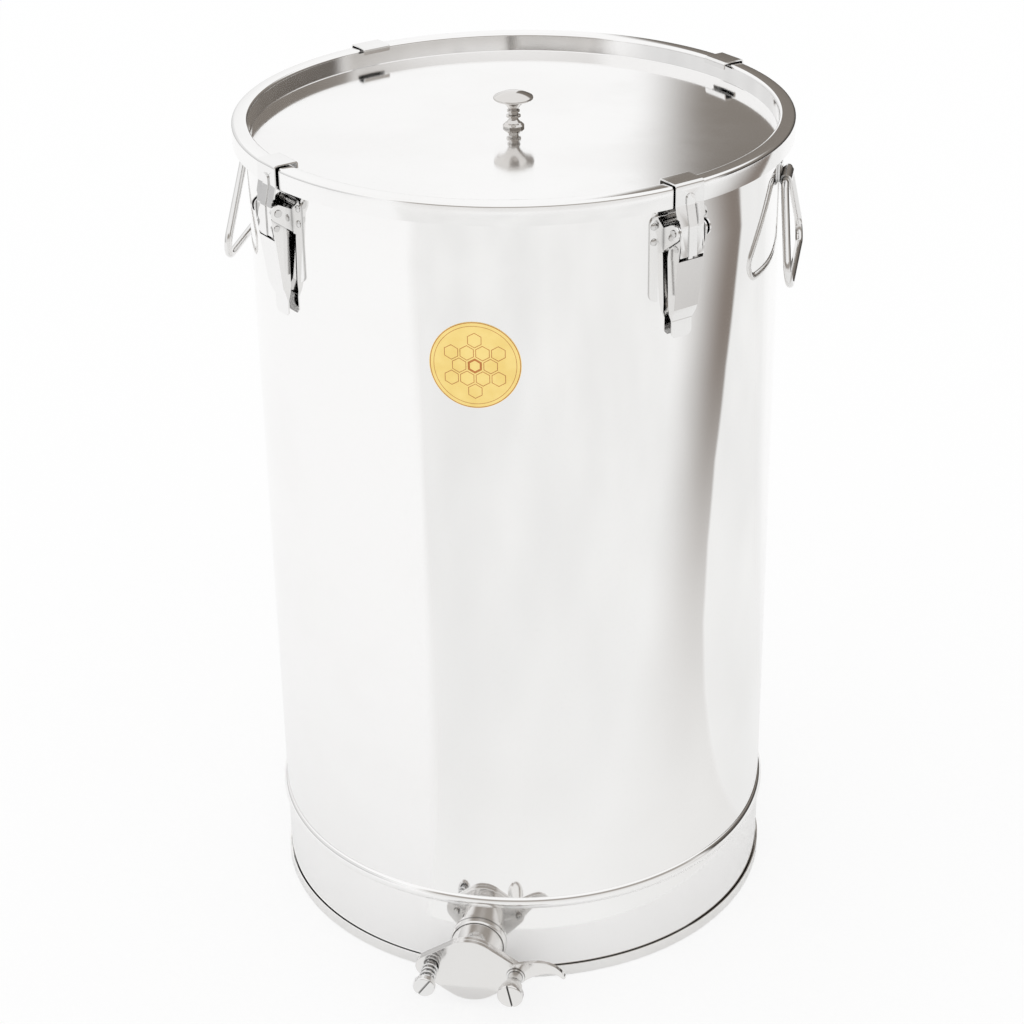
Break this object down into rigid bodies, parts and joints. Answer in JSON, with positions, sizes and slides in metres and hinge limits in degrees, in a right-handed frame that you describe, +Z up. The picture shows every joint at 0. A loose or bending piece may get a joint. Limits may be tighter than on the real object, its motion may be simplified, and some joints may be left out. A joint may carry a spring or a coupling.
{
  "type": "honey settling tank",
  "caption": "Upright cylindrical settling tank with a clamped drop-in lid, side bail handles and a swinging plate honey gate low on its wall.",
  "frame": {"origin": "centre of the foot ring, on the floor", "axes": "+Z up along the tank's axis, -Y towards the honey gate, +X to the right as seen from the gate"},
  "size_m": [0.4326, 0.4748, 0.664],
  "materials": {
    "tank_wall": "mirror polished sheet steel",
    "tank_base": "mirror polished sheet steel",
    "lid": "mirror polished sheet steel",
    "knob": "turned and polished",
    "latch_plate": "polished pressed sheet",
    "fastener": "bright",
    "bail_wire": "bright drawn wire",
    "valve_cast": "polished casting",
    "valve_turned": "turned",
    "spring": "bright spring wire",
    "gasket": "food grade silicone",
    "badge": "printed, thin brown rim"
  },
  "bodies": {
    "tank": {"tank_body": "tank_wall", "tank_bottom": "tank_base", "lid": "lid", "lid_gasket": "gasket", "lid_knob": "knob", "knob_screw": "fastener", "knob_washer": "fastener", "valve_collar": "valve_cast", "valve_body": "valve_cast", "valve_seal": "gasket", "gate_pivot_screw": "valve_turned", "gate_spring": "spring", "clamp_stud": "valve_turned", "clamp_washer": "valve_turned", "badge": "badge", "latch_front_left_base": "latch_plate", "latch_front_left_lever_pin": "fastener", "latch_front_left_rivets": "fastener", "latch_front_right_base": "latch_plate", "latch_front_right_lever_pin": "fastener", "latch_front_right_rivets": "fastener", "latch_rear_right_base": "latch_plate", "latch_rear_right_lever_pin": "fastener", "latch_rear_right_rivets": "fastener", "latch_rear_left_base": "latch_plate", "latch_rear_left_lever_pin": "fastener", "latch_rear_left_rivets": "fastener", "handle_left_bracket": "latch_plate", "handle_left_rivets": "fastener", "handle_right_bracket": "latch_plate", "handle_right_rivets": "fastener"},
    "gate": {"gate_plate": "valve_cast"},
    "nut": {"clamp_nut": "valve_cast"},
    "lever_front_left": {"latch_front_left_lever": "latch_plate", "latch_front_left_strap_pin": "fastener"},
    "strap_front_left": {"latch_front_left_strap": "latch_plate"},
    "lever_front_right": {"latch_front_right_lever": "latch_plate", "latch_front_right_strap_pin": "fastener"},
    "strap_front_right": {"latch_front_right_strap": "latch_plate"},
    "lever_rear_right": {"latch_rear_right_lever": "latch_plate", "latch_rear_right_strap_pin": "fastener"},
    "strap_rear_right": {"latch_rear_right_strap": "latch_plate"},
    "lever_rear_left": {"latch_rear_left_lever": "latch_plate", "latch_rear_left_strap_pin": "fastener"},
    "strap_rear_left": {"latch_rear_left_strap": "latch_plate"},
    "bail_left": {"handle_left_bail": "bail_wire"},
    "bail_right": {"handle_right_bail": "bail_wire"}
  },
  "joints": [
    {"name": "lever_front_left_swing", "type": "hinge", "parent": "tank", "child": "lever_front_left", "pos_m": [-0.14955, -0.14955, 0.6185], "axis": [-0.7071, 0.7071, 0], "range_deg": [0, 115]},
    {"name": "strap_front_left_swing", "type": "hinge", "parent": "lever_front_left", "child": "strap_front_left", "pos_m": [-0.14984, -0.14984, 0.6066], "axis": [-0.7071, 0.7071, 0], "range_deg": [-96, 0]},
    {"name": "lever_front_right_swing", "type": "hinge", "parent": "tank", "child": "lever_front_right", "pos_m": [0.14955, -0.14955, 0.6185], "axis": [-0.7071, -0.7071, 0], "range_deg": [0, 115]},
    {"name": "strap_front_right_swing", "type": "hinge", "parent": "lever_front_right", "child": "strap_front_right", "pos_m": [0.14984, -0.14984, 0.6066], "axis": [-0.7071, -0.7071, 0], "range_deg": [-96, 0]},
    {"name": "lever_rear_right_swing", "type": "hinge", "parent": "tank", "child": "lever_rear_right", "pos_m": [0.14955, 0.14955, 0.6185], "axis": [0.7071, -0.7071, 0], "range_deg": [0, 115]},
    {"name": "strap_rear_right_swing", "type": "hinge", "parent": "lever_rear_right", "child": "strap_rear_right", "pos_m": [0.14984, 0.14984, 0.6066], "axis": [0.7071, -0.7071, 0], "range_deg": [-96, 0]},
    {"name": "lever_rear_left_swing", "type": "hinge", "parent": "tank", "child": "lever_rear_left", "pos_m": [-0.14955, 0.14955, 0.6185], "axis": [0.7071, 0.7071, 0], "range_deg": [0, 115]},
    {"name": "strap_rear_left_swing", "type": "hinge", "parent": "lever_rear_left", "child": "strap_rear_left", "pos_m": [-0.14984, 0.14984, 0.6066], "axis": [0.7071, 0.7071, 0], "range_deg": [-96, 0]},
    {"name": "bail_left_swing", "type": "hinge", "parent": "tank", "child": "bail_left", "pos_m": [-0.2049, 0, 0.608], "axis": [0, 1, 0], "range_deg": [0, 150]},
    {"name": "bail_right_swing", "type": "hinge", "parent": "tank", "child": "bail_right", "pos_m": [0.2049, 0, 0.608], "axis": [0, -1, 0], "range_deg": [0, 150]},
    {"name": "gate_swing", "type": "hinge", "parent": "tank", "child": "gate", "pos_m": [-0.031, -0.237, 0.0332], "axis": [0, -1, 0], "range_deg": [0, 80]},
    {"name": "clamp_nut_spin", "type": "hinge", "parent": "tank", "child": "nut", "pos_m": [0.0365, -0.25, 0.0332], "axis": [0, -1, 0], "continuous": true}
  ],
  "couplings": [
    {"joint": "strap_front_left_swing", "follows": "lever_front_left_swing", "ratio": -0.83},
    {"joint": "strap_front_right_swing", "follows": "lever_front_right_swing", "ratio": -0.83},
    {"joint": "strap_rear_right_swing", "follows": "lever_rear_right_swing", "ratio": -0.83},
    {"joint": "strap_rear_left_swing", "follows": "lever_rear_left_swing", "ratio": -0.83}
  ]
}
